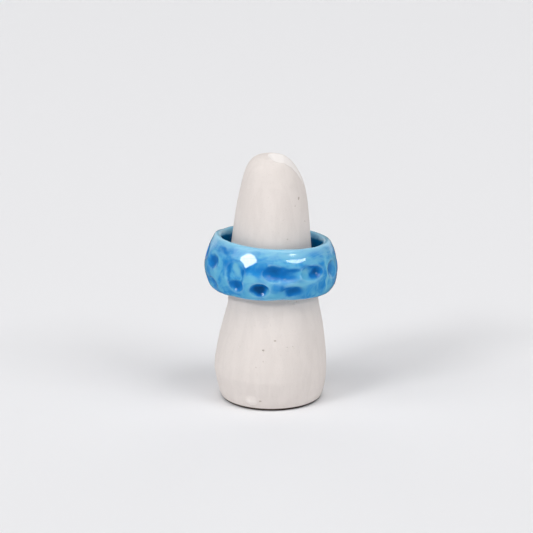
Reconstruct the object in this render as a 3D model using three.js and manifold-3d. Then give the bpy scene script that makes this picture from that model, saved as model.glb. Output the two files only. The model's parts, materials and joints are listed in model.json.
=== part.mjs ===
// A ring-shaped ceramic guitar slide, resting on a finger-shaped ceramic stand.
// Millimetres, +Z up. X runs to the right and the front faces -Y.
// The origin is the middle of the stand's flat sole, on the surface that it stands on.
import * as THREE from "three";
import { mergeVertices } from "three/addons/utils/BufferGeometryUtils.js";
import Module from "manifold-3d";

const wasm = await Module();
wasm.setup();

// ---- driving dimensions of the ring ----
const BORE_RADIUS = 9.95; // the finger hole, a 19.9 mm ring size
const BELLY_RADIUS = 13.4; // the widest part of the outer wall
const RING_HALF_HEIGHT = 5.2; // from the middle to the crest of either rim
const BORE_HALF_HEIGHT = 3.3; // the straight stretch of the bore, before its rounded lips
const TALLER_LEFT = 0.068; // both rims are cut aslant: this share taller on the left
const TALLER_FRONT = 0.027; // and this share taller at the front
const RING_SEGMENTS = 60;

// ---- where the ring rests ----
const RING_REST = new THREE.Vector3(-0.05, 0.22, 27.5); // its middle
const RING_PITCH = THREE.MathUtils.degToRad(-2.9); // the front sits higher
const RING_ROLL = THREE.MathUtils.degToRad(2.1); // the left sits higher

// ---- driving dimensions of the stand ----
const SOLE_RADIUS = 9.5; // half the width of the flat sole
const STAND_DEPTH = 1.11; // its depth, front to back, as a share of its width
const STAND_SEGMENTS = 44;
const STAND_RINGS = 24;
const LEAN_SAMPLES = 60;

// Half the stand's width at each height, from the sole's edge to the crown: [half width, height].
const STAND_OUTLINE = [
  [SOLE_RADIUS, 0],
  [10.05, 0.5],
  [10.5, 1.5],
  [11.0, 3.6],
  [11.3, 6.0],
  [10.9, 10.5],
  [10.0, 15.6],
  [9.15, 19.3],
  [8.65, 23.6],
  [8.05, 30.8],
  [7.35, 37.6],
  [6.55, 42.6],
  [5.6, 45.9],
  [4.4, 48.1],
  [2.9, 49.35],
  [0, 49.8],
];

// How far the middle of the stand wanders to the right on its way up: [shift, height].
const STAND_LEAN = [
  [0, 0],
  [-0.05, 3],
  [-0.25, 6.5],
  [0.1, 13.5],
  [0.42, 18.5],
  [0.1, 25],
  [-0.1, 31],
  [0.1, 38],
  [0.3, 44],
  [-0.3, 50],
];

// The crown is planed off towards the right, along a curve seen from the front: [x, height].
const CROWN_CUT = [
  [-1.4, 50.2],
  [0.4, 49.2],
  [2.4, 48.7],
  [3.9, 47.6],
  [5.0, 46.2],
  [6.0, 44.4],
  [6.9, 42.0],
  [7.6, 40.0],
];
const CROWN_CUT_FRONT = -3; // the y at which the cut follows that curve
const CROWN_CUT_RISE = Math.atan(0.13); // the cut rises towards the back

// The hollows carved into the ring's wall. The angle starts at the front and grows to the right,
// and the height is from the ring's middle: [angle, height, width, tallness, depth].
const FRONT_HOLLOWS = [
  [-62, 0.8, 5.0, 3.3, 0.7],
  [-62, -3.2, 4.6, 2.7, 0.6],
  [-46.5, 4.0, 3.6, 1.4, 0.22],
  [-33.5, -0.5, 3.6, 6.4, 0.8],
  [-12.5, 1.2, 3.2, 2.0, 0.22],
  [-11, -3.0, 3.8, 2.8, 0.95],
  [2, 0.9, 4.6, 3.2, 0.9],
  [15, 0.3, 5.2, 3.0, 0.6],
  [8, -2.6, 2.6, 1.6, 0.22],
  [20.7, -3.4, 4.8, 2.4, 0.5],
  [39, 0.5, 5.2, 3.0, 0.75],
  [42, -3.3, 4.0, 2.2, 0.3],
  [67, 0.9, 4.4, 4.2, 0.6],
  [64, -3.0, 4.2, 3.2, 0.6],
];
const BACK_HOLLOWS = [
  [91, 1.6, 4.6, 3.0, 0.7],
  [93, -2.6, 3.6, 2.8, 0.8],
  [115, -0.2, 3.4, 5.8, 0.8],
  [137, 1.4, 5.4, 3.0, 0.75],
  [134, -3.1, 4.4, 2.4, 0.6],
  [160, -0.9, 4.2, 3.6, 0.9],
  [178, 2.4, 4.0, 2.2, 0.4],
  [184, -2.9, 4.6, 2.4, 0.7],
  [201, 0.6, 4.8, 3.4, 0.8],
  [222, -2.2, 3.4, 4.0, 0.8],
  [228, 2.2, 3.8, 2.2, 0.5],
  [249, 0.2, 4.0, 4.8, 0.75],
  [270, -2.8, 4.0, 2.4, 0.6],
  [273, 1.5, 4.6, 3.0, 0.7],
];
const HOLLOW_OFFSET = 0.5; // the share of its own radius that a cutter's middle stands off the wall
const CUTTER_SEGMENTS = [12, 8];

// ---- finishes ----
const blueGlaze = new THREE.MeshStandardMaterial({ color: 0x3f9fd6, roughness: 0.12, metalness: 0 });
const whiteBisque = new THREE.MeshStandardMaterial({ color: 0xe6dcd6, roughness: 0.9, metalness: 0 });

// ---- solids ----

// A closed geometry as a manifold-3d solid, ready to be cut.
function solidOf(geometry) {
  const bare = geometry.clone();
  bare.deleteAttribute("normal");
  bare.deleteAttribute("uv");
  const merged = mergeVertices(bare, 1e-4);
  return new wasm.Manifold(
    new wasm.Mesh({
      numProp: 3,
      vertProperties: merged.attributes.position.array,
      triVerts: new Uint32Array(merged.index.array),
    }),
  );
}

function geometryOf(solid) {
  const { vertProperties, triVerts } = solid.getMesh();
  const geometry = new THREE.BufferGeometry();
  geometry.setAttribute("position", new THREE.BufferAttribute(new Float32Array(vertProperties), 3));
  geometry.setIndex(new THREE.BufferAttribute(new Uint32Array(triVerts), 1));
  geometry.computeVertexNormals();
  return geometry;
}

// Moves every vertex of a geometry by a rule that changes the point it is given.
function reshape(geometry, rule) {
  const position = geometry.attributes.position;
  const point = new THREE.Vector3();
  for (let i = 0; i < position.count; i++) {
    point.fromBufferAttribute(position, i);
    rule(point);
    position.setXYZ(i, point.x, point.y, point.z);
  }
  return geometry;
}

// A profile of (radius, height) points turned about Z.
function turned(profile, segments) {
  return new THREE.LatheGeometry(profile, segments).rotateX(Math.PI / 2);
}

// A smooth curve through [value, height] pairs.
function smoothThrough(pairs) {
  return new THREE.SplineCurve(pairs.map(([value, height]) => new THREE.Vector2(value, height)));
}

// The value at a height, between the samples of a curve that climbs.
function valueAtHeight(samples, height) {
  const above = samples.findIndex((sample) => sample.y >= height);
  if (above <= 0) return samples[above === 0 ? 0 : samples.length - 1].x;
  const low = samples[above - 1];
  const high = samples[above];
  return THREE.MathUtils.mapLinear(height, low.y, high.y, low.x, high.x);
}

// ---- the ring ----

// The wall's cross-section, as a closed path of (radius, height): out round the bottom rim, up
// the belly, in over the top rim and down the bore.
function wallSection() {
  const section = new THREE.Path();
  const crest = RING_HALF_HEIGHT;
  section.moveTo(BORE_RADIUS, -BORE_HALF_HEIGHT);
  section.bezierCurveTo(BORE_RADIUS, -4.4, 10.3, -crest, 11.0, -crest);
  section.bezierCurveTo(11.8, -crest, 12.2, -4.6, 12.55, -3.8);
  section.bezierCurveTo(13.1, -2.8, BELLY_RADIUS, -1.8, BELLY_RADIUS, -0.5);
  section.bezierCurveTo(BELLY_RADIUS, 0.9, 12.95, 2.2, 12.75, 3.3);
  section.bezierCurveTo(12.5, 4.6, 11.8, crest, 11.0, crest);
  section.bezierCurveTo(10.3, crest, BORE_RADIUS, 4.5, BORE_RADIUS, BORE_HALF_HEIGHT);
  section.lineTo(BORE_RADIUS, -BORE_HALF_HEIGHT);
  return section.getPoints(3);
}

// The outer wall's radius and its slope at a height.
function outerWall(section, height) {
  const crestRadius = 11; // the rims' crests, inside which the bore's side of the section begins
  const outside = section.filter((point) => point.x >= crestRadius).sort((a, b) => a.y - b.y);
  const step = 0.4;
  const below = valueAtHeight(outside, height - step);
  const above = valueAtHeight(outside, height + step);
  return { radius: (below + above) / 2, slope: Math.atan2(below - above, 2 * step) };
}

// The egg-shaped cutter that leaves a hollow of that width, tallness and depth in the wall.
function hollowCutter(section, [angle, height, width, tallness, depth]) {
  const turn = THREE.MathUtils.degToRad(angle);
  const wall = outerWall(section, height);
  const reach = depth / (1 - HOLLOW_OFFSET); // the cutter's radius, into the wall
  const fallAway = width ** 2 / (8 * wall.radius); // how far the wall curves away at the hollow's ends
  const sideCut = Math.min(0.85, HOLLOW_OFFSET + fallAway / reach);
  const halfWidth = width / 2 / Math.sqrt(1 - sideCut ** 2);
  const halfTallness = tallness / 2 / Math.sqrt(1 - HOLLOW_OFFSET ** 2);
  const standOff = HOLLOW_OFFSET * reach; // of the cutter's middle, square to the wall
  return new THREE.SphereGeometry(1, ...CUTTER_SEGMENTS)
    .scale(halfWidth, reach, halfTallness)
    .rotateX(-wall.slope)
    .translate(0, -wall.radius - standOff * Math.cos(wall.slope), height + standOff * Math.sin(wall.slope))
    .rotateZ(turn);
}

function ringGeometry() {
  const section = wallSection();
  let ring = solidOf(turned(section, RING_SEGMENTS));
  for (const hollow of [...FRONT_HOLLOWS, ...BACK_HOLLOWS]) {
    ring = ring.subtract(solidOf(hollowCutter(section, hollow)));
  }
  return reshape(geometryOf(ring), (point) => {
    const left = -point.x / BELLY_RADIUS;
    const front = -point.y / BELLY_RADIUS;
    point.z *= 1 + TALLER_LEFT * left + TALLER_FRONT * front;
  });
}

// ---- the stand ----

function standGeometry() {
  const outline = smoothThrough(STAND_OUTLINE).getSpacedPoints(STAND_RINGS);
  const lean = smoothThrough(STAND_LEAN).getPoints(LEAN_SAMPLES);
  const profile = [new THREE.Vector2(0, 0), ...outline];
  const body = reshape(turned(profile, STAND_SEGMENTS), (point) => {
    point.x += valueAtHeight(lean, point.z);
    point.y *= STAND_DEPTH;
  });
  return geometryOf(solidOf(body).subtract(solidOf(crownCutter())));
}

// What is planed off the crown: everything above and outside the cut's curve, as a block along Y.
function crownCutter() {
  const clear = 5; // past the crown and past the stand's side
  const block = 30; // the block's length
  const [startX, startHeight] = CROWN_CUT[0];
  const [endX, endHeight] = CROWN_CUT.at(-1);
  const shape = new THREE.Shape();
  shape.moveTo(startX, startHeight);
  shape.splineThru(CROWN_CUT.slice(1).map(([x, height]) => new THREE.Vector2(x, height)));
  shape.lineTo(endX + clear, endHeight);
  shape.lineTo(endX + clear, startHeight + clear);
  shape.lineTo(startX, startHeight + clear);
  shape.closePath();
  return new THREE.ExtrudeGeometry(shape, { depth: block, bevelEnabled: false, curveSegments: 12 })
    .translate(0, -startHeight, -block / 2)
    .rotateX(Math.PI / 2 + CROWN_CUT_RISE)
    .translate(0, CROWN_CUT_FRONT, startHeight);
}

// ---- the assembly ----

const stand = new THREE.Mesh(standGeometry(), whiteBisque);
stand.name = "finger_stand";

const ring = new THREE.Mesh(ringGeometry(), blueGlaze);
ring.name = "slide_ring";
ring.position.copy(RING_REST);
ring.rotation.set(RING_PITCH, RING_ROLL, 0);

const slideOnStand = new THREE.Group();
slideOnStand.add(stand, ring);

export default slideOnStand;
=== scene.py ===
import json
import math

import bpy
import bmesh
import numpy as np
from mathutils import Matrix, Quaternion, Vector, noise

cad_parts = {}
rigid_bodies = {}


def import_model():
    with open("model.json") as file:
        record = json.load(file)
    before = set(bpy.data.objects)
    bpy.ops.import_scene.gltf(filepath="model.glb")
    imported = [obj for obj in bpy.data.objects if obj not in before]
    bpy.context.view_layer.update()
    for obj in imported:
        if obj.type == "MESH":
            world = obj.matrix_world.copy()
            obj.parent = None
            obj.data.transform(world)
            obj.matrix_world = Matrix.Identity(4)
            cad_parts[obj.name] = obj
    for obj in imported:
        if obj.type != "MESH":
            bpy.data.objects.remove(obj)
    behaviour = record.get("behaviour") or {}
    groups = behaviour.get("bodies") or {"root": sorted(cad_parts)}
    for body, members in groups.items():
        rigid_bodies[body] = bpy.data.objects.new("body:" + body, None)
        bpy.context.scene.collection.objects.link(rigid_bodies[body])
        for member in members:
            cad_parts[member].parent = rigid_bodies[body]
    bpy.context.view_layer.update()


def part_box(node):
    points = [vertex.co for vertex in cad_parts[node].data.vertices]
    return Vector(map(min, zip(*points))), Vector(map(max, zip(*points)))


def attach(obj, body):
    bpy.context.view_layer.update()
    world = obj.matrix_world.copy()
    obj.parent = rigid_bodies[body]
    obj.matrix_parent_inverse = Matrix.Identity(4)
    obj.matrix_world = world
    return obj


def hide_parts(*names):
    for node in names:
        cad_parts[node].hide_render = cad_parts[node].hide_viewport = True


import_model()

# Every size below is in millimetres, and each piece is made metres by scaling at its end.
MM = 0.001

# ---- the ring's wall ----
BORE_RADIUS = 9.95
BELLY_RADIUS = 13.4
CREST_RADIUS = 11.0
CREST_HEIGHT = 5.2
# The section as curves of (radius, height): start, two pulls and end, from the foot of the bore
# out round the bottom rim, up the belly, in over the top rim and back down the bore.
WALL_CURVES = [
    ((9.95, -3.3), (9.95, -4.4), (10.3, -5.2), (11.0, -5.2)),
    ((11.0, -5.2), (11.8, -5.2), (12.2, -4.6), (12.55, -3.8)),
    ((12.55, -3.8), (13.1, -2.8), (13.4, -1.8), (13.4, -0.5)),
    ((13.4, -0.5), (13.4, 0.7), (13.06, 1.7), (12.58, 2.7)),
    ((12.58, 2.7), (12.25, 3.38), (12.0, 3.85), (11.76, 4.3)),
    ((11.76, 4.3), (11.52, 4.75), (11.5, 5.2), (11.0, 5.2)),
    ((11.0, 5.2), (10.3, 5.2), (9.95, 4.5), (9.95, 3.3)),
    ((9.95, 3.3), (9.95, 1.1), (9.95, -1.1), (9.95, -3.3)),
]
CURVE_STEPS = 7
WALL_TURNS = 144
TALLER_LEFT = 0.068
SHORTER_RIGHT = 0.03
TALLER_FRONT = (0.012, -0.03)  # below and above the middle
FRONT_DROP = 0.36
RIGHT_DROP = 0.3
SQUARER_RIGHT = 0.4
RING_TILT = (math.radians(-2.9), math.radians(2.1), 0.0)

# ---- the hollows: (angle, height, width, tallness, depth, lean) ----
# The angle starts at the front and grows to the right. Lean turns the hollow in the wall.
# Broad thumb dents come first and are smoothed away into the wall.
DENTS = [
    (-64, 0.9, 6.0, 4.2, 0.25, 0),
    (-68, -3.3, 6.0, 3.2, 0.45, 0),
    (-13, 1.0, 4.4, 2.6, 0.3, 0),
    (11, 0.6, 9.0, 4.4, 0.6, -4),
    (22, -3.0, 6.4, 3.2, 0.35, 0),
    (38.5, 0.5, 6.4, 4.2, 0.45, 0),
    (12, -5.5, 6.0, 1.8, 0.45, 0),
    (78, 0.9, 7.6, 4.4, 0.3, 0),
    (121, 0.4, 4.6, 6.2, 0.5, -8),
    (141, 1.6, 6.2, 3.8, 0.45, 6),
    (184, -2.9, 5.8, 3.2, 0.5, -8),
    (201, 0.6, 6.0, 4.4, 0.5, 0),
    (249, 0.2, 5.0, 5.8, 0.5, -6),
    (273, 1.5, 5.8, 4.0, 0.3, 8),
]
# Then the deeper prints, which keep a soft edge. Their last number is how much darker the colour is made there: glaze
# gathering together with painted shade in the hollow.
PRINTS = [
    (-62.5, 1.05, 4.6, 3.2, 0.8, 0, 0.5),
    (-66, -3.2, 4.6, 2.4, 0.7, 0, 0.15),
    (-32.3, -0.2, 4.3, 7.0, 0.8, 0, 0.0),
    (-32, -2.3, 3.4, 3.0, 0.95, 0, 0.5),
    (-10.5, 1.6, 4.2, 2.4, 0.4, -18, 0.15),
    (-10, -2.8, 4.0, 3.1, 1.2, 0, 0.95),
    (2.5, 0.65, 5.2, 3.8, 1.2, 6, 0.4),
    (15, 0.4, 6.6, 3.2, 0.85, -8, 0.1),
    (21, -3.0, 5.2, 2.5, 0.75, 0, 0.55),
    (38, 0.55, 6.0, 3.4, 1.0, 0, 0.0),
    (43, 0.6, 3.6, 2.8, 1.1, 0, 0.65),
    (68, 0.4, 5.0, 4.4, 0.9, 0, 0.2),
    (104, 2.0, 4.4, 2.6, 0.7, 10, 0.5),
    (108, -2.2, 3.4, 2.8, 0.9, 0, 0.6),
    (123, 0.4, 3.6, 5.2, 0.95, -8, 0.3),
    (141, 1.6, 4.8, 2.8, 0.95, 6, 0.6),
    (139, -3.1, 4.4, 2.4, 0.7, 0, 0.4),
    (161, -1.1, 4.2, 3.6, 1.0, 12, 0.8),
    (177, 2.4, 4.0, 2.2, 0.6, 0, 0.3),
    (184, -2.9, 4.6, 2.4, 0.95, -8, 0.6),
    (201, 0.6, 4.8, 3.4, 1.0, 0, 0.7),
    (222, -2.2, 3.4, 4.0, 0.9, 5, 0.5),
    (228, 2.2, 3.8, 2.2, 0.65, 0, 0.4),
    (249, 0.2, 3.8, 4.8, 1.0, -6, 0.4),
    (268, -2.8, 4.0, 2.4, 0.75, 0, 0.5),
    (271, 1.5, 4.4, 3.0, 0.8, 8, 0.6),
]
# A flat the size of a fingertip, high on the left: angle, height, rise and depth.
FINGER_FLAT = (-20.5, 3.1, math.radians(22.8), 0.085)
# The lip pushed up below the largest print: angle, height, width, tallness and how proud it stands.
LIP = (4, -1.7, 4.2, 1.2, 0.2)
DENT_SINK = 0.2
# Dabs of darker colour, or paler below 0: glaze that ran thick or thin, together with painted shade in hollows and
# painted reflections as pale dabs inside some hollows: (angle, height, width, tallness, amount).
GLAZE_AND_LIGHT_DABS = [
    (5, -0.9, 4.4, 1.1, -0.2),
    (2.5, 1.5, 4.0, 1.8, 0.15),
    (-47, 0.0, 2.4, 6.0, -0.15),
    (-50, 3.6, 5.0, 1.4, 0.4),
    (-44, 1.4, 2.6, 3.4, 0.3),
    (-39, -0.6, 1.0, 5.0, 0.3),
    (-32, 2.4, 3.0, 0.9, 0.35),
    (-26, -0.5, 0.9, 4.4, 0.3),
    (-22.5, 0.9, 2.0, 2.2, 0.35),
    (-32.5, 0.5, 2.1, 3.4, -0.6),
    (-17, -0.9, 3.4, 2.4, -0.45),
    (-56, -0.6, 1.8, 3.4, -0.3),
    (-12.5, 1.1, 3.2, 1.5, 0.12),
    (-14, 3.4, 7.0, 1.2, -0.1),
    (40, 2.9, 7.0, 1.4, -0.4),
    (0, -3.4, 2.6, 1.5, -0.25),
    (10, -2.2, 1.8, 1.1, 0.35),
    (20, 1.5, 5.0, 0.9, 0.3),
    (20, -0.6, 4.6, 1.6, 0.2),
    (33.5, 0.8, 2.6, 1.7, -0.5),
    (38, 2.0, 5.0, 0.7, 0.4),
    (27, -1.5, 5.4, 0.8, -0.3),
    (57, -0.8, 1.0, 6.4, -0.7),
    (47, -2.6, 4.0, 2.4, 0.2),
    (25, 2.9, 8.0, 0.7, 0.15),
    (78, -3.0, 3.0, 2.4, 0.3),
]
HOLLOW_OFFSET = 0.5
DENT_GRAIN = 0.3  # of the mesh that the prints are cut from
RING_GRAIN = 0.17  # the size of the finished mesh's faces

# ---- the stand ----
STAND_DEPTH = 1.11
STAND_OUTLINE = [
    (9.7, 0.0), (9.95, 0.12), (10.15, 0.45), (10.55, 1.5), (11.0, 3.6), (11.3, 6.0), (11.2, 8.2),
    (10.9, 10.5), (10.5, 13.1), (10.0, 15.6), (9.15, 19.3), (8.65, 23.6), (8.35, 27.2), (8.05, 30.8),
    (7.7, 34.4), (7.35, 37.6), (7.0, 40.2), (6.55, 42.6), (6.1, 44.5), (5.6, 45.9), (5.05, 47.1),
    (4.4, 48.1), (3.7, 48.85), (2.9, 49.35), (1.6, 49.72), (0.0, 49.8),
]
STAND_LEAN = [
    (0.0, 0.0), (-0.05, 3.0), (-0.25, 6.5), (0.1, 13.5), (0.42, 18.5), (0.1, 25.0), (-0.1, 31.0),
    (0.1, 38.0), (0.3, 44.0), (-0.3, 50.0),
]
STAND_TURNS = 128
STAND_GRAIN = 0.225
CROWN_CUT = [
    (-1.4, 50.2), (0.4, 49.2), (2.4, 48.7), (3.9, 47.6), (5.0, 46.2), (6.0, 44.4), (6.9, 42.0), (7.6, 40.0),
]
CROWN_CUT_FRONT = -3.0
CROWN_CUT_RISE = math.atan(0.13)


# Marks in the clay of the stand: (angle, height, radius) of each pinhole.
PINHOLES = [
    (-9.3, 12.7, 0.22), (16.7, 13.2, 0.13), (22.8, 13.2, 0.11), (-59.5, 14.2, 0.14), (-51, 14.6, 0.12),
    (-38.4, 12.8, 0.12), (23.6, 34.4, 0.14), (20.2, 22.0, 0.13), (27.7, 21.5, 0.12), (74, 9.0, 0.16),
    (118, 16.0, 0.18), (151, 8.5, 0.22), (163, 31.0, 0.15), (205, 13.0, 0.2), (236, 6.0, 0.14), (282, 18.0, 0.16),
]
FLAKE = (-20.5, 2.3)  # a raised flake near the foot


# ---- making ----

def deselect():
    bpy.ops.object.select_all(action="DESELECT")


def take(piece):
    """Makes piece the only selected and active object."""
    deselect()
    piece.select_set(True)
    bpy.context.view_layer.objects.active = piece
    return piece


def named(name):
    piece = bpy.context.active_object
    piece.name = name
    piece.data.name = name
    return piece


def apply_place(piece):
    take(piece)
    bpy.ops.object.transform_apply(location=True, rotation=True, scale=True)


def apply_modifier(piece, kind, **settings):
    take(piece)
    modifier = piece.modifiers.new(kind.lower(), kind)
    for key, value in settings.items():
        setattr(modifier, key, value)
    bpy.ops.object.modifier_apply(modifier=modifier.name)


def drawn_line(name, points, closed):
    """An outline drawn point by point in the XZ plane, as (across, up)."""
    deselect()
    bpy.ops.mesh.primitive_plane_add(size=1)
    line = named(name)
    bpy.ops.object.mode_set(mode="EDIT")
    bpy.ops.mesh.select_all(action="SELECT")
    bpy.ops.mesh.merge(type="CENTER")
    first = points[0]
    bpy.ops.transform.translate(value=(first[0], 0, first[1]))
    for (x0, z0), (x1, z1) in zip(points, points[1:]):
        bpy.ops.mesh.extrude_vertices_move(TRANSFORM_OT_translate={"value": (x1 - x0, 0, z1 - z0)})
    if closed:
        outline = bmesh.from_edit_mesh(line.data)
        for vertex in outline.verts:
            vertex.select = len(vertex.link_edges) == 1
        outline.select_flush(True)
        bmesh.update_edit_mesh(line.data)
        bpy.ops.mesh.edge_face_add()
    bpy.ops.mesh.select_all(action="SELECT")
    return line


def spun(name, points, closed, turns):
    """A solid of revolution about Z."""
    piece = drawn_line(name, points, closed)
    bpy.ops.mesh.spin(steps=turns, angle=math.tau, axis=(0, 0, 1), center=(0, 0, 0))
    bpy.ops.mesh.select_all(action="SELECT")
    bpy.ops.mesh.remove_doubles(threshold=0.001)
    bpy.ops.mesh.normals_make_consistent(inside=False)
    bpy.ops.object.mode_set(mode="OBJECT")
    return piece


def combine(piece, others, operation):
    """Cuts the others from piece, or joins them to it, all at once."""
    group = bpy.data.collections.new("cutters")
    for other in others:
        group.objects.link(other)
    apply_modifier(piece, "BOOLEAN", operation=operation, solver="EXACT",
                   operand_type="COLLECTION", collection=group)
    for other in others:
        bpy.data.objects.remove(other)
    bpy.data.collections.remove(group)


def soften(piece, grain, rounds):
    """Rebuilds the surface from faces of one size and smooths it."""
    apply_modifier(piece, "REMESH", mode="VOXEL", voxel_size=grain)
    apply_modifier(piece, "SMOOTH", factor=0.5, iterations=rounds)


def hand_marks(piece, name, size, depth):
    """Low, uneven swells such as fingers leave in clay."""
    texture = bpy.data.textures.new(name, "CLOUDS")
    texture.noise_scale = size
    texture.noise_depth = 1
    apply_modifier(piece, "DISPLACE", texture=texture, texture_coords="LOCAL", strength=depth, mid_level=0.5)


def curve_points(curve, steps):
    """Points along a cubic curve, without its end."""
    points = []
    for i in range(steps):
        t = i / steps
        weights = ((1 - t) ** 3, 3 * t * (1 - t) ** 2, 3 * t * t * (1 - t), t ** 3)
        points.append(tuple(sum(w * p[axis] for w, p in zip(weights, curve)) for axis in (0, 1)))
    return points


def to_metres(piece):
    take(piece)
    piece.scale = (MM, MM, MM)
    bpy.ops.object.transform_apply(location=True, rotation=True, scale=True)
    bpy.ops.object.shade_smooth()


def coordinates(piece):
    flat = np.zeros(len(piece.data.vertices) * 3, np.float32)
    piece.data.vertices.foreach_get("co", flat)
    return flat.reshape(-1, 3).astype(float)


def set_coordinates(piece, points):
    piece.data.vertices.foreach_set("co", points.astype(np.float32).ravel())
    piece.data.update()


def keep_values(piece, name, values):
    attribute = piece.data.attributes.new(name, "FLOAT", "POINT")
    attribute.data.foreach_set("value", values.astype(np.float32))


def edge_pairs(piece):
    pairs = np.zeros(len(piece.data.edges) * 2, np.int32)
    piece.data.edges.foreach_get("vertices", pairs)
    return pairs.reshape(-1, 2)


def neighbour_mean(values, pairs):
    """The mean of each vertex's neighbours' values."""
    here = np.concatenate([pairs[:, 0], pairs[:, 1]])
    there = np.concatenate([pairs[:, 1], pairs[:, 0]])
    size = len(values)
    count = np.bincount(here, minlength=size)
    columns = values.reshape(size, -1).T
    total = [np.bincount(here, weights=column[there], minlength=size) for column in columns]
    return (np.array(total) / count).T.reshape(values.shape)


def swell(piece, rounds):
    """How far the surface bulges at each vertex: above 0 on edges and below 0 in hollows, in 1/mm."""
    points = coordinates(piece)
    pairs = edge_pairs(piece)
    normals = np.zeros(len(points) * 3, np.float32)
    piece.data.vertices.foreach_get("normal", normals)
    normals = normals.reshape(-1, 3)
    smooth = points
    for _ in range(rounds):
        smooth = smooth + 0.5 * (neighbour_mean(smooth, pairs) - smooth)
    bulge = np.einsum("ij,ij->i", smooth - neighbour_mean(smooth, pairs), normals)
    return blurred(bulge, pairs, 2)


def blurred(values, pairs, rounds):
    for _ in range(rounds):
        values = 0.5 * (values + neighbour_mean(values, pairs))
    return values


def relief(piece, rounds):
    """How far each point stands out of the surface's general run, in mm."""
    points = coordinates(piece)
    normals = np.zeros(len(points) * 3, np.float32)
    piece.data.vertices.foreach_get("normal", normals)
    general = blurred(points, edge_pairs(piece), rounds)
    return np.einsum("ij,ij->i", points - general, normals.reshape(-1, 3))


# ---- the ring ----

def wall_points():
    return [point for curve in WALL_CURVES for point in curve_points(curve, CURVE_STEPS)]


def outer_wall():
    """The outer wall's heights and radii, from the bottom up."""
    outer = sorted((z, r) for r, z in wall_points() if r >= CREST_RADIUS)
    return np.array(outer).T


def wall_at(height):
    heights, radii = outer_wall()
    step = 0.4
    below, above = np.interp([height - step, height + step], heights, radii)
    return (below + above) / 2, math.atan2(below - above, 2 * step)


def hollow_cutter(angle, height, width, tallness, depth, lean):
    """An egg that leaves a hollow of that width, tallness and depth in the wall."""
    radius, slope = wall_at(height)
    reach = depth / (1 - HOLLOW_OFFSET)
    fall_away = width ** 2 / (8 * radius)
    side_cut = min(0.85, HOLLOW_OFFSET + fall_away / reach)
    half_width = width / 2 / math.sqrt(1 - side_cut ** 2)
    half_tallness = tallness / 2 / math.sqrt(1 - HOLLOW_OFFSET ** 2)
    out = radius + HOLLOW_OFFSET * reach * math.cos(slope)
    up = height + HOLLOW_OFFSET * reach * math.sin(slope)
    turn = math.radians(angle)
    deselect()
    bpy.ops.mesh.primitive_uv_sphere_add(segments=40, ring_count=24, radius=1)
    egg = named("hollow_egg")
    egg.rotation_mode = "YXZ"
    egg.scale = (half_width, reach, half_tallness)
    egg.rotation_euler = (-slope, math.radians(lean), turn)
    egg.location = (out * math.sin(turn), -out * math.cos(turn), up)
    apply_place(egg)
    hand_marks(egg, "thumb_marks", 2.2, 0.18)
    return egg


def flat_cutter(angle, height, rise, depth):
    """A block whose inner face shaves a flat off the wall."""
    size = 9
    radius = wall_at(height)[0]
    reach = size / 2 - depth
    turn = math.radians(angle)
    out = radius + reach * math.cos(rise)
    deselect()
    bpy.ops.mesh.primitive_cube_add(size=size)
    block = named("flat_block")
    block.rotation_mode = "YXZ"
    block.rotation_euler = (-rise, 0, turn)
    block.location = (out * math.sin(turn), -out * math.cos(turn), height + reach * math.sin(rise))
    apply_place(block)
    return block


def raised_lip():
    """The clay pushed up below the largest thumb print."""
    angle, height, width, tallness, proud = LIP
    radius, slope = wall_at(height)
    thickness = 1.0
    out = radius - DENT_SINK + proud - thickness
    turn = math.radians(angle)
    deselect()
    bpy.ops.mesh.primitive_uv_sphere_add(segments=40, ring_count=24, radius=1)
    lip = named("lip_egg")
    lip.rotation_mode = "YXZ"
    lip.scale = (width / 2, thickness, tallness / 2)
    lip.rotation_euler = (-slope, 0, turn)
    lip.location = (out * math.sin(turn), -out * math.cos(turn), height)
    apply_place(lip)
    return lip


def build_ring():
    ring = spun("glazed_slide", wall_points(), True, WALL_TURNS)
    hand_marks(ring, "wall_marks", 4.5, 0.3)
    combine(ring, [hollow_cutter(*dent) for dent in DENTS], "DIFFERENCE")
    soften(ring, DENT_GRAIN, 8)
    cutters = [hollow_cutter(*hollow[:-1]) for hollow in PRINTS]
    combine(ring, [flat_cutter(*FINGER_FLAT), *cutters], "DIFFERENCE")
    combine(ring, [raised_lip()], "UNION")
    soften(ring, RING_GRAIN, 14)
    bring_to_size(ring)
    note_glaze(ring)
    slant_rims(ring)
    low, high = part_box("slide_ring")
    ring.rotation_euler = RING_TILT
    ring.location = (low + high) / 2 / MM
    apply_place(ring)
    to_metres(ring)
    return ring


def bring_to_size(ring):
    """Gives back the width and height that smoothing took."""
    points = coordinates(ring)
    points[:, :2] *= BELLY_RADIUS / np.percentile(np.hypot(points[:, 0], points[:, 1]), 99.9)
    points[:, 2] *= CREST_HEIGHT / np.percentile(np.abs(points[:, 2]), 99.7)
    set_coordinates(ring, points)


def slant_rims(ring):
    """Makes the wall taller on the left and shorter on the right, and lets the front and right sag."""
    points = coordinates(ring)
    left, right = (np.clip(side * points[:, 0] / BELLY_RADIUS, 0, 1) for side in (-1, 1))
    front = -points[:, 1] / BELLY_RADIUS
    radius = np.hypot(points[:, 0], points[:, 1])
    square = np.clip((np.abs(points[:, 2]) - 1.5) / 2, 0, 1) * np.clip((radius - BORE_RADIUS) / 1.5, 0, 1)
    points[:, :2] *= (1 + SQUARER_RIGHT * square * right ** 2 / radius)[:, None]
    taller = np.where(points[:, 2] > 0, TALLER_FRONT[1], TALLER_FRONT[0])
    points[:, 2] *= 1 + TALLER_LEFT * left - SHORTER_RIGHT * right + taller * np.clip(front, 0, 1)
    points[:, 2] -= FRONT_DROP * np.clip(front, 0, 1) ** 2 + RIGHT_DROP * right ** 2
    set_coordinates(ring, points)


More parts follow.
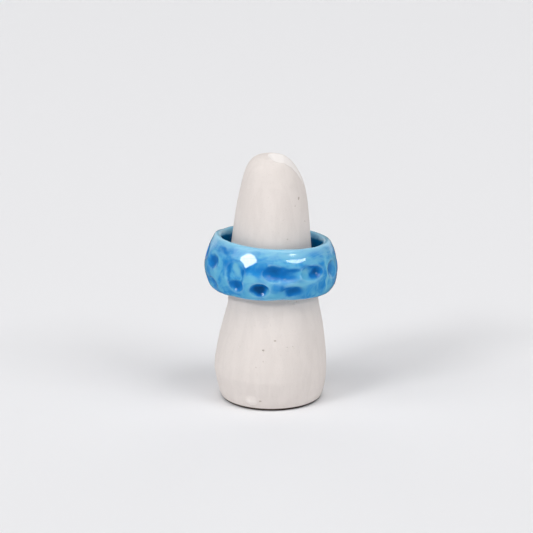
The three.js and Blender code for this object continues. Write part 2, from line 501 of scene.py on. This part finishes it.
def brushed(points, dabs):
    """How much of the dabs (angle, height, width, tallness, amount) lies on each point of the wall."""
    places = [Vector(point) * 0.7 for point in points]
    sideways = np.array([noise.noise(place) for place in places])
    upwards = np.array([noise.noise(place + Vector((40, 20, 30))) for place in places])
    turn = np.degrees(np.arctan2(points[:, 0], -points[:, 1]))
    total = np.zeros(len(points))
    for angle, height, width, tallness, amount in dabs:
        across = np.radians((turn - angle + 180) % 360 - 180) * BELLY_RADIUS + 0.8 * sideways
        up = points[:, 2] - height + 0.5 * upwards
        far = (2 * across / width) ** 2 + (2 * up / tallness) ** 2
        total += amount * np.exp(-far ** 1.4)
    return total


def note_glaze(ring):
    """Keeps for the finish: the glaze's thickness, which also carries painted shade and painted reflections in the
    hollows; the ring's inside, where the bore gets painted shade; its bulging edges; and its height, for a paler top
    band of thin glaze with painted sheen.
    """
    points = coordinates(ring)
    pairs = edge_pairs(ring)
    heights, radii = outer_wall()
    radius = np.hypot(points[:, 0], points[:, 1])
    wall = np.interp(points[:, 2], heights, radii)
    outside = (radius > CREST_RADIUS - 0.6) * np.clip((4.6 - np.abs(points[:, 2])) / 0.6, 0, 1)
    hollow = blurred(outside * np.clip(wall - radius - 0.15, 0, 1), pairs, 10)
    gathered_and_shaded = [(angle, height - 0.1, 0.85 * width, 0.8 * tallness, amount)
                for angle, height, width, tallness, _, _, amount in PRINTS]
    # Thickness: glaze pooled in the hollows together with painted shade there; below 0, thin glaze together with
    # painted reflections in some hollows.
    keep_values(ring, "thickness", 0.25 * hollow + outside * brushed(points, gathered_and_shaded + GLAZE_AND_LIGHT_DABS))
    # The inside mask is for painted shade: the bore's wall below the lip is darkened as if in shadow.
    lip = 0.6 + 0.9 * np.clip(points[:, 1] / BORE_RADIUS, 0, 1)
    inside = (radius < BORE_RADIUS + 0.35) & (np.abs(points[:, 2]) < CREST_HEIGHT - lip)
    keep_values(ring, "inside", blurred(np.where(inside, 1.0, 0.0), pairs, 4))
    bulge = swell(ring, 2)
    keep_values(ring, "bulge", bulge / np.std(bulge))
    keep_values(ring, "relief", relief(ring, 60))
    keep_values(ring, "up", points[:, 2] / CREST_HEIGHT)


# ---- the stand ----

def lean_over(piece):
    points = coordinates(piece)
    shift, heights = np.array(STAND_LEAN).T
    points[:, 0] += np.interp(points[:, 2], heights, shift)
    set_coordinates(piece, points)


def crown_cutter():
    start, end = CROWN_CUT[0], CROWN_CUT[-1]
    clear = 5.0
    outline = [*CROWN_CUT, (end[0] + clear, end[1]), (end[0] + clear, start[1] + clear), (start[0], start[1] + clear)]
    block = drawn_line("crown_block", outline, True)
    bpy.ops.mesh.select_all(action="SELECT")
    bpy.ops.mesh.edge_face_add()
    bpy.ops.transform.translate(value=(0, -15, 0))
    bpy.ops.mesh.extrude_region_move(TRANSFORM_OT_translate={"value": (0, 30, 0)})
    bpy.ops.mesh.select_all(action="SELECT")
    bpy.ops.mesh.normals_make_consistent(inside=False)
    bpy.ops.transform.translate(value=(0, 0, -start[1]))
    bpy.ops.object.mode_set(mode="OBJECT")
    block.rotation_euler = (CROWN_CUT_RISE, 0, 0)
    block.location = (0, CROWN_CUT_FRONT, start[1])
    apply_place(block)
    return block


def on_stand(angle, height):
    """The point of the stand's side at that angle and height."""
    radii, heights = np.array(STAND_OUTLINE).T
    shift, shift_heights = np.array(STAND_LEAN).T
    radius = np.interp(height, heights, radii)
    turn = math.radians(angle)
    across = radius * math.sin(turn) + np.interp(height, shift_heights, shift)
    return (across, -STAND_DEPTH * radius * math.cos(turn), height)


def pinholes():
    deselect()
    for angle, height, radius in PINHOLES:
        bpy.ops.mesh.primitive_ico_sphere_add(subdivisions=2, radius=radius, location=on_stand(angle, height))
        named("pinhole")
    for hole in bpy.data.objects:
        hole.select_set(hole.name.startswith("pinhole"))
    bpy.ops.object.join()
    holes = bpy.context.active_object
    apply_place(holes)
    return holes


def flake():
    """A thin flake of clay that stands up from the side."""
    across, back, height = on_stand(*FLAKE)
    deselect()
    bpy.ops.mesh.primitive_uv_sphere_add(segments=32, ring_count=16, radius=1)
    lump = named("flake_lump")
    lump.scale = (1.5, 0.55, 1.15)
    lump.rotation_euler = (0, 0, math.radians(FLAKE[0]))
    lump.location = (across, back + 0.22, height)
    apply_place(lump)
    hand_marks(lump, "flake_marks", 0.8, 0.2)
    return lump


def creases():
    """The crease beside the crown's left lobe, and the one above the flake."""
    across, back, height = on_stand(*FLAKE)
    places = [
        ((0.4, -2.5, 49.75), (0.9, 5.0, 0.5), (CROWN_CUT_RISE, 0.35, 0.25)),
        ((across, back - 0.02, height + 1.2), (1.5, 0.3, 0.14), (0, 0, math.radians(FLAKE[0]))),
    ]
    made = []
    for place, size, turn in places:
        deselect()
        bpy.ops.mesh.primitive_uv_sphere_add(segments=32, ring_count=16, radius=1)
        crease = named("crease")
        crease.scale = size
        crease.rotation_euler = turn
        crease.location = place
        apply_place(crease)
        made.append(crease)
    return made


def crown_cut_painted_light(stand):
    """Near 1 where the crown cut took clay away, and 0 elsewhere; the finish paints light on this cut facet."""
    points = coordinates(stand)
    radii, heights = np.array(STAND_OUTLINE).T
    shift, shift_heights = np.array(STAND_LEAN).T
    across = points[:, 0] - np.interp(points[:, 2], shift_heights, shift)
    radius = np.hypot(across, points[:, 1] / STAND_DEPTH)
    taken = np.interp(points[:, 2], heights, radii) - radius
    share = np.clip((taken - 0.12) / 0.25, 0, 1) * (points[:, 2] > 38) * (across > -1.5)
    return blurred(share, edge_pairs(stand), 2)


def build_stand():
    outline = [(0.0, 0.0), *STAND_OUTLINE]
    stand = spun("bisque_stand", outline, False, STAND_TURNS)
    stand.scale = (1, STAND_DEPTH, 1)
    apply_place(stand)
    lean_over(stand)
    combine(stand, [crown_cutter(), *creases()], "DIFFERENCE")
    combine(stand, [flake()], "UNION")
    soften(stand, STAND_GRAIN, 4)
    combine(stand, [pinholes()], "DIFFERENCE")
    bulge = swell(stand, 4)
    keep_values(stand, "bulge", bulge / np.std(bulge))
    keep_values(stand, "crown_cut_painted_light", crown_cut_painted_light(stand))
    to_metres(stand)
    return stand


# ---- finishes ----

class Finish:
    """A material and its nodes."""

    def __init__(self, name):
        self.material = bpy.data.materials.new(name)
        self.material.use_nodes = True
        self.nodes = self.material.node_tree.nodes
        self.shader = self.nodes["Principled BSDF"]

    def add(self, kind, inputs=(), **settings):
        node = self.nodes.new(kind)
        for key, value in settings.items():
            setattr(node, key, value)
        for key, value in dict(inputs).items():
            if isinstance(value, bpy.types.NodeSocket):
                self.material.node_tree.links.new(value, node.inputs[key])
            else:
                node.inputs[key].default_value = value
        return node

    def link(self, output, socket):
        self.material.node_tree.links.new(output, self.shader.inputs[socket])

    def value(self, name):
        return self.add("ShaderNodeAttribute", attribute_name=name).outputs["Fac"]

    def place(self):
        return self.add("ShaderNodeTexCoord").outputs["Object"]

    def noise(self, scale, detail=2.0, roughness=0.5, distortion=0.0, vector=None):
        settings = {"Scale": scale, "Detail": detail, "Roughness": roughness, "Distortion": distortion,
                    "Vector": vector or self.place()}
        return self.add("ShaderNodeTexNoise", settings).outputs["Fac"]

    def stretch(self, scale):
        return self.add("ShaderNodeMapping", {"Vector": self.place(), "Scale": scale}).outputs["Vector"]

    def ramp(self, value, low, high, start=0.0, end=1.0):
        node = self.add("ShaderNodeMapRange", {"Value": value, "From Min": low, "From Max": high,
                                               "To Min": start, "To Max": end}, interpolation_type="SMOOTHSTEP")
        return node.outputs["Result"]

    def mix(self, share, first, second):
        node = self.add("ShaderNodeMix", data_type="RGBA")
        for index, item in ((0, share), (6, first), (7, second)):
            if isinstance(item, bpy.types.NodeSocket):
                self.material.node_tree.links.new(item, node.inputs[index])
            else:
                node.inputs[index].default_value = item
        return node.outputs[2]

    def math(self, operation, first, second, clamp=False):
        return self.add("ShaderNodeMath", {0: first, 1: second}, operation=operation, use_clamp=clamp).outputs[0]

    def bump(self, height, distance, strength, below=None):
        inputs = {"Height": height, "Distance": distance, "Strength": strength}
        if below is not None:
            inputs["Normal"] = below
        return self.add("ShaderNodeBump", inputs).outputs["Normal"]


def srgb(red, green, blue):
    def linear(value):
        value /= 255
        return value / 12.92 if value <= 0.04045 else ((value + 0.055) / 1.055) ** 2.4
    return (linear(red), linear(green), linear(blue), 1.0)


def blue_glaze():
    glaze = Finish("sky_blue_glaze")
    clouds = glaze.noise(1.0, 3.0, 0.6, 0.8, glaze.stretch((300, 300, 360)))
    body = glaze.mix(glaze.ramp(clouds, 0.36, 0.64), srgb(38, 140, 212), srgb(94, 179, 220))
    streaks = glaze.noise(1.0, 4.0, 0.6, 1.2, glaze.stretch((170, 170, 800)))
    # Paler towards the top: thin glaze over the rim together with painted sheen where the top band catches the light.
    up = glaze.math("ADD", glaze.value("up"), glaze.math("MULTIPLY", streaks, 0.9))
    up = glaze.math("SUBTRACT", up, 0.45)
    body = glaze.mix(glaze.ramp(up, 0.45, 1.05, 0, 0.82), body, srgb(146, 204, 230))
    stands_out = glaze.value("relief")
    body = glaze.mix(glaze.ramp(stands_out, 0.03, 0.2, 0, 0.5), body, srgb(150, 208, 232))
    thickness = glaze.value("thickness")
    # Paler where the glaze is thin, and painted reflection where the pale dabs lie inside hollows.
    body = glaze.mix(glaze.ramp(thickness, 0.0, -0.5, 0, 0.8), body, srgb(124, 198, 224))
    # Darker where the glaze gathers, together with painted shade in the hollows.
    body = glaze.mix(glaze.ramp(thickness, 0.0, 0.5), body, srgb(14, 116, 194))
    body = glaze.mix(glaze.ramp(thickness, 0.4, 1.1), body, srgb(0, 78, 136))
    # Painted shade: the bore's inner wall is made dark teal, as if in shadow.
    body = glaze.mix(glaze.value("inside"), body, srgb(2, 104, 160))
    bulge = glaze.value("bulge")
    body = glaze.mix(glaze.ramp(bulge, 1.5, 4.5, 0, 0.4), body, srgb(160, 214, 238))
    glaze.link(body, "Base Color")
    glaze.shader.inputs["Roughness"].default_value = 0.06
    glaze.shader.inputs["IOR"].default_value = 1.45
    return glaze.material


def white_bisque():
    bisque = Finish("white_bisque")
    smears = bisque.noise(1.0, 3.0, 0.6, 0.4, bisque.stretch((420, 420, 110)))
    body = bisque.mix(bisque.ramp(smears, 0.38, 0.62), srgb(226, 218, 213), srgb(230, 222, 217))
    grain = bisque.noise(2600, 2.0, 0.6)
    body = bisque.mix(bisque.ramp(grain, 0.55, 0.8, 0, 0.25), body, srgb(205, 194, 188))
    specks = bisque.noise(700, 1.0, 0.5)
    body = bisque.mix(bisque.ramp(specks, 0.76, 0.8, 0, 0.5), body, srgb(150, 128, 112))
    bulge = bisque.value("bulge")
    # Painted highlight: convex edges and ridges of the stand are made paler, as where they catch the light.
    body = bisque.mix(bisque.ramp(bulge, 2.0, 7.0, 0, 0.6), body, srgb(242, 236, 232))
    # Painted shade: creases and pinholes are made brownish dark, as shadow lying in them.
    body = bisque.mix(bisque.ramp(bulge, -6.0, -16.0, 0, 0.5), body, srgb(130, 108, 96))
    # Painted light: the crown's cut facet is made paler, as if lit from above.
    body = bisque.mix(bisque.ramp(bisque.value("crown_cut_painted_light"), 0.1, 0.9, 0, 0.9), body, srgb(250, 245, 242))
    # Painted shadow: a dark brown band on the foot below about 0.6 mm, standing in for the contact shadow where the
    # stand meets the floor.
    height = bisque.add("ShaderNodeSeparateXYZ", {"Vector": bisque.place()}).outputs["Z"]
    body = bisque.mix(bisque.ramp(height, 0.0006, 0.00045), body, srgb(62, 45, 36))
    bisque.link(body, "Base Color")
    bisque.shader.inputs["Roughness"].default_value = 0.85
    normal = bisque.bump(grain, 0.00004, 0.5)
    bisque.link(normal, "Normal")
    return bisque.material


# ---- setting ----

def floor_sweep():
    """A round pale floor that curves up at its far edge, in metres."""
    flat, rise = 2.0, 0.4
    outline = [(0.0, 0.0), (flat, 0.0)]
    outline += [(flat + rise * math.sin(a), rise * (1 - math.cos(a))) for a in np.linspace(0.1, 1.4, 10)]
    sweep = spun("floor_sweep", outline, False, 64)
    bpy.ops.object.shade_smooth()
    paper = Finish("pale_paper")
    paper.shader.inputs["Base Color"].default_value = srgb(238, 238, 240)
    paper.shader.inputs["Roughness"].default_value = 0.95
    sweep.data.materials.append(paper.material)
    sweep.visible_glossy = False


def softbox(name, turn, height, distance, size, power, lean=0):
    """A lamp that faces the object, turned right from the front, raised and leant, all in degrees."""
    lamp = bpy.data.lights.new(name, "AREA")
    lamp.shape = "RECTANGLE"
    lamp.size, lamp.size_y = size
    lamp.energy = power
    box = bpy.data.objects.new(name, lamp)
    bpy.context.scene.collection.objects.link(box)
    across, up = math.radians(turn), math.radians(height)
    way = Vector((math.sin(across) * math.cos(up), -math.cos(across) * math.cos(up), math.sin(up)))
    box.location = way * distance
    facing = way.to_track_quat("Z", "Y") @ Quaternion((0, 0, 1), math.radians(lean))
    box.rotation_euler = facing.to_euler()


def light():
    world = bpy.data.worlds.new("pale_room")
    world.use_nodes = True
    world.node_tree.nodes["Background"].inputs["Color"].default_value = (1.0, 0.995, 1.0, 1.0)
    world.node_tree.nodes["Background"].inputs["Strength"].default_value = 0.15
    bpy.context.scene.world = world
    softbox("key_softbox", -65, 48, 8, (5.0, 5.0), 150)
    softbox("key_heart", -46, 34, 7.9, (2.5, 0.9), 165)
    softbox("right_softbox", 53, 34.2, 8, (4.4, 0.6), 120, -15)
    softbox("right_fill", 62, 58, 8, (5.0, 4.0), 135)
    softbox("overhead_softbox", 0, 66, 8, (6.0, 5.0), 130)
    softbox("back_softbox", 180, 50, 6, (5.0, 4.0), 30)
    softbox("left_edge", -155, 15, 8, (5.0, 5.0), 45)
    softbox("right_edge", 155, 15, 8, (5.0, 5.0), 45)


def camera():
    lens = bpy.data.cameras.new("view")
    lens.lens = 185.6
    lens.sensor_width = 36
    lens.clip_start, lens.clip_end = 0.01, 10
    view = bpy.data.objects.new("view", lens)
    bpy.context.scene.collection.objects.link(view)
    view.location = (0, -0.530, 0.1726)
    aim = Vector((-0.001, 0, 0.02675))
    view.rotation_euler = (aim - view.location).to_track_quat("-Z", "Y").to_euler()
    bpy.context.scene.camera = view


# ---- the object ----

deselect()
camera()
light()
floor_sweep()

stand = build_stand()
stand.data.materials.append(white_bisque())
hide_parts("finger_stand")
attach(stand, "stand")

ring = build_ring()
ring.data.materials.append(blue_glaze())
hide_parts("slide_ring")
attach(ring, "ring")

bpy.context.scene.view_settings.view_transform = "Standard"
for piece in (stand, ring):
    piece.data.calc_loop_triangles()
